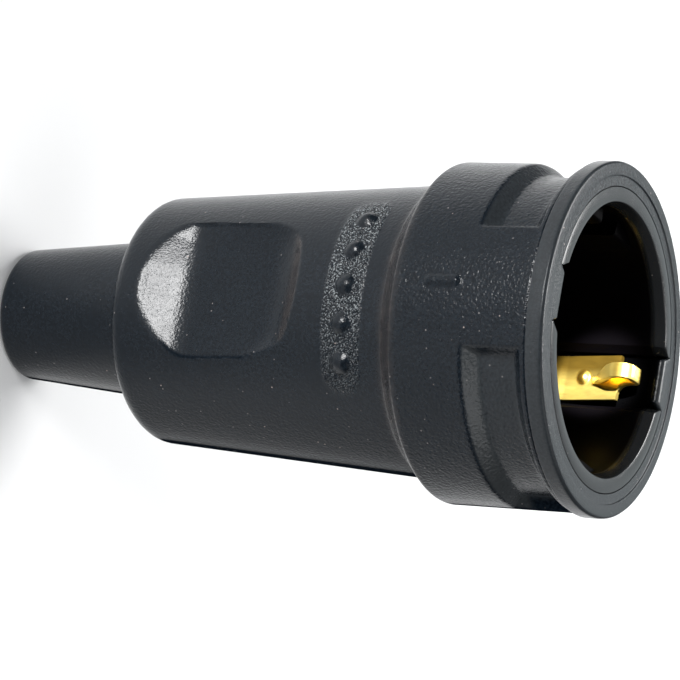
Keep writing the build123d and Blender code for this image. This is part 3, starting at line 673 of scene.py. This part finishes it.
def bow():
    sh = Shell()
    half_t = 0.4
    path = fillet_path(
        [
            (0.0, 79.4, 0.0), (21.1, 79.4, 0.9), (21.1, 84.0, 3.0), (arm_mid(93.3), 93.3, 0.0),
            (arm_mid(96.75), 96.75, 0.8), (15.15, 96.35, 1.2), (15.05, 94.0, 2.2), (19.72, 89.18, 0.0),
        ],
        lambda u, v: 0.45 if v > 92.8 else 0.7,
        arc_step=9.0,
    )
    seg = np.linalg.norm(np.diff(path, axis=0), axis=1)
    along = np.concatenate([[0.0], np.cumsum(seg)])
    tip_i = int(np.argmin(np.hypot(path[:, 0] - arm_mid(93.3), path[:, 1] - 93.3)))
    s_end = along[tip_i]
    total = along[-1]

    def frame_at(s):
        i = min(int(np.searchsorted(along, s, "right")) - 1, len(seg) - 1)
        f = (s - along[i]) / seg[i]
        p = path[i] + (path[i + 1] - path[i]) * f
        e = 0.12
        q0 = np.array([np.interp(s - e, along, path[:, k]) for k in (0, 1)])
        q1 = np.array([np.interp(s + e, along, path[:, k]) for k in (0, 1)])
        d = (q1 - q0) / np.linalg.norm(q1 - q0)
        return p, d

    sections = []
    for s in along[: tip_i]:
        if s < s_end - 0.25:
            sections.append((s, 3.5))
    sections += [(s_end - 0.12, 3.5), (s_end - 0.03, 3.46), (s_end, 3.36)]
    neck, fw = 1.7, 1.2
    for k in range(0, 11):
        a = math.radians(90.0 * k / 10)
        sections.append((s_end + neck * math.sin(a) * 1.0 if k else s_end + 0.001, fw + neck * (1.0 - math.sin(a)) if k else fw + neck))
    # the round of the neck runs from the strip's end edge to the finger's side
    sections = [x for x in sections if x[0] <= s_end + 0.0005]
    for k in range(0, 11):
        a = math.radians(90.0 * k / 10)
        sections.append((s_end + 0.001 + neck * (1.0 - math.cos(a)), fw + neck * (1.0 - math.sin(a))))
    s0 = s_end + 0.001 + neck
    for s in np.linspace(s0, total, 64)[1:]:
        sections.append((s, 1.15))

    def ring(p, d, hw, side, skew):
        n = np.array([-d[1], d[0]])
        b = min(0.14, hw * 0.3)
        out = []
        prof = [
            (-hw, -half_t + b), (-hw + 0.3 * b, -half_t + 0.3 * b), (-hw + b, -half_t), (-hw * 0.45, -half_t), (hw * 0.45, -half_t),
            (hw - b, -half_t), (hw - 0.3 * b, -half_t + 0.3 * b), (hw, -half_t + b),
            (hw, half_t - b), (hw - 0.3 * b, half_t - 0.3 * b), (hw - b, half_t), (hw * 0.45, half_t), (-hw * 0.45, half_t),
            (-hw + b, half_t), (-hw + 0.3 * b, half_t - 0.3 * b), (-hw, half_t - b),
        ]
        for x, h in prof:
            q = p + n * h
            x = x + skew * (hw - x)
            out.append((x * side, q[0] * side, q[1]))
        return out

    for side in (1.0, -1.0):
        rows = []
        for s, hw in sections:
            p, d = frame_at(s)
            rows.append(ring(p, d, hw, side, 0.56 * float(sstep(np.array(s), total - 4.6, total - 0.2)) if s > s0 else 0.0))
        pts = np.array(rows)
        sh.grid(pts, wrap_v=True, flip=False)
        last = len(pts[0])
        sh.add(pts[-1], [tuple(range(last))])
        # raised dimple with a soft foot
        z0 = 87.1
        y0 = arm_mid(z0) - 0.4 / math.cos(math.atan(0.1828))
        prof = [(1.55, -0.15), (1.45, 0.0), (1.22, 0.03), (1.08, 0.12), (1.0, 0.26), (0.9, 0.42), (0.74, 0.6), (0.52, 0.75), (0.27, 0.83)]
        ax_n = np.array([0.0, -math.cos(math.atan(0.1828)), -math.sin(math.atan(0.1828))])
        ax_u = np.array([0.0, -ax_n[2], ax_n[1]])
        ax_x = np.array([1.0, 0.0, 0.0])
        c0 = np.array([0.0, y0, z0])
        rings = []
        nseg = 28
        for rr, hh in prof:
            rings.append([
                c0 + ax_n * hh + rr * (ax_x * math.cos(2 * math.pi * k / nseg) + ax_u * math.sin(2 * math.pi * k / nseg))
                for k in range(nseg)
            ])
        rings = np.array(rings)
        top = c0 + ax_n * 0.86
        flip = np.array([side, side, 1.0])
        n0 = len(sh.v)
        sh.grid(rings * flip, wrap_v=True, flip=False)
        base = n0 + (len(prof) - 1) * nseg
        sh.v.append(tuple(top * flip))
        ti = len(sh.v) - 1
        for k in range(nseg):
            sh.f.append((base + k, base + (k + 1) % nseg, ti))
        sh.f.append(tuple(n0 + k for k in range(nseg))[::-1])
    obj = make_object("earth_strip", sh.v, sh.f, sharp=40)
    co = np.array(sh.v)
    side = np.where(co[:, 1] < 0, -1.0, 1.0)
    across, inward = co[:, 0] * side, np.abs(co[:, 1])
    # painted shade: dark towards one edge of the strip, on the dimple's half towards -Z, at the finger's root and tip
    brass_painted_shade = 0.92 * sstep(across, 1.4, -1.4) * sstep(inward, 10.0, 14.0)
    bulge = (arm_mid(co[:, 2]) - inward > 0.46) & (np.abs(co[:, 2] - 87.1) < 1.6)
    brass_painted_shade = np.where(bulge & (np.abs(across) < 1.6), 0.97 * sstep(co[:, 2], 87.75, 87.2), brass_painted_shade)
    finger = (arm_mid(co[:, 2]) - inward > 0.55) & (co[:, 2] > 88.8)
    root = 0.66 * np.exp(-(((co[:, 2] - 94.5) / 0.75) ** 2)) + 0.45 * sstep(co[:, 2], 91.2, 90.2)
    root = np.where(inward < 15.1 + 0.969 * np.clip(94.0 - co[:, 2], 0.0, None), root, 0.0)
    brass_painted_shade = np.where(finger, np.clip(root, 0.0, 1.0), brass_painted_shade)
    a = obj.data.attributes.new("brass_painted_shade", "FLOAT", "POINT")
    a.data.foreach_set("value", brass_painted_shade.astype(np.float32))
    obj.data.materials.append(BRASS)
    return obj


moulding = housing()
insert = cup()
strip = bow()
for piece, node, slot in ((moulding, "rubber_housing", "rubber"), (insert, "socket_cup", "insert"), (strip, "earth_bow", "brass")):
    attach(piece, "root")
    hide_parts(node)

finish = {"rubber": RUBBER, "insert": PLASTIC, "brass": BRASS, "steel": STEEL}
for sub in frame["record"]["subparts"]:
    obj = nodes[sub["node"]]
    obj.data.materials.clear()
    obj.data.materials.append(finish[sub["material_slot"]])


# ---------------------------------------------------------------------------
# floor, light, camera
# ---------------------------------------------------------------------------
def floor():
    n = 24
    size = 6.0
    g = np.linspace(-size / 2, size / 2, n + 1)
    verts = [(x / MM, y / MM, 0.0) for y in g for x in g]
    faces = [
        (j * (n + 1) + i, j * (n + 1) + i + 1, (j + 1) * (n + 1) + i + 1, (j + 1) * (n + 1) + i)
        for j in range(n) for i in range(n)
    ]
    obj = make_object("studio_floor", verts, faces)
    m = Mat("pale_paper")
    tone = m.mix(m.ramp(m.noise(40.0, 3.0, 0.5), 0.3, 0.7), (0.86, 0.86, 0.86, 1), (0.88, 0.88, 0.88, 1))
    rough = m.ramp(m.noise(300.0, 2.0, 0.5), 0.3, 0.7, 0.85, 0.95)
    obj.data.materials.append(m.set(color=tone, rough=rough, spec=0.1))
    return obj


def softbox(name, azimuth, elevation, distance, width, height, radiance, target=(0.0, 0.0, 0.05), color=(1, 1, 1)):
    az, el = math.radians(azimuth), math.radians(elevation)
    t = Vector(target)
    d = Vector((math.cos(el) * math.cos(az), math.cos(el) * math.sin(az), math.sin(el)))
    data = bpy.data.lights.new(name, "AREA")
    data.shape = "RECTANGLE"
    data.size, data.size_y = width, height
    data.energy = radiance * math.pi * width * height
    data.color = color
    obj = bpy.data.objects.new(name, data)
    obj.location = t + d * distance
    obj.rotation_euler = (-d).to_track_quat("-Z", "Y").to_euler()
    bpy.context.scene.collection.objects.link(obj)
    return obj


floor()
def snoot(name, location, target, energy, cone, radius=0.0015):
    """Narrow round spot that only lights the inside of the mouth."""
    data = bpy.data.lights.new(name, "SPOT")
    data.energy = energy
    data.spot_size = math.radians(cone)
    data.spot_blend = 0.6
    data.shadow_soft_size = radius
    obj = bpy.data.objects.new(name, data)
    obj.location = location
    obj.rotation_euler = (Vector(target) - Vector(location)).to_track_quat("-Z", "Y").to_euler()
    bpy.context.scene.collection.objects.link(obj)
    return obj


softbox("key", -105.5, 6.0, 0.70, 0.24, 0.19, 38.0)
softbox("sky", 119.0, 61.5, 0.564, 0.26, 0.26, 15.5, target=(-0.10, 0.07, 0.0))
softbox("fill", -5.0, 54.0, 0.95, 0.95, 0.52, 1.8)
softbox("roof", 100.0, 82.0, 1.10, 1.50, 1.50, 0.25)
softbox("back", 108.0, 20.0, 1.0, 0.80, 0.52, 0.76, target=(0.0, 0.0, 0.10), color=(0.88, 0.98, 1.0))
snoot("mouth", (-0.1002, -0.4146, 0.3165), (0.0, 0.0195, 0.0895), 150.0, 1.6)

world = bpy.data.worlds.new("studio")
world.use_nodes = True
bpy.context.scene.world = world
world.node_tree.nodes["Background"].inputs["Color"].default_value = (0.92, 0.95, 1.0, 1)
world.node_tree.nodes["Background"].inputs["Strength"].default_value = 0.18

cam_data = bpy.data.cameras.new("camera")
cam_data.sensor_width = 36.0
cam_data.sensor_fit = "HORIZONTAL"
cam_data.lens = 180.0
cam_data.clip_start = 0.01
cam_data.clip_end = 20.0
cam = bpy.data.objects.new("camera", cam_data)
cam_right = Vector((-0.17685747, 0.42758446, 0.88650604))
cam_up = Vector((-0.9503298, -0.30856399, -0.040762))
cam_back = cam_right.cross(cam_up).normalized()
cam_up = cam_back.cross(cam_right).normalized()
rot = Matrix((cam_right, cam_up, cam_back)).transposed()
cam.matrix_world = Matrix.Translation(Vector((0.13329787, -0.43599768, 0.2919623))) @ rot.to_4x4()
bpy.context.scene.collection.objects.link(cam)
bpy.context.scene.camera = cam
bpy.context.scene.view_settings.view_transform = "Standard"

bpy.context.view_layer.update()
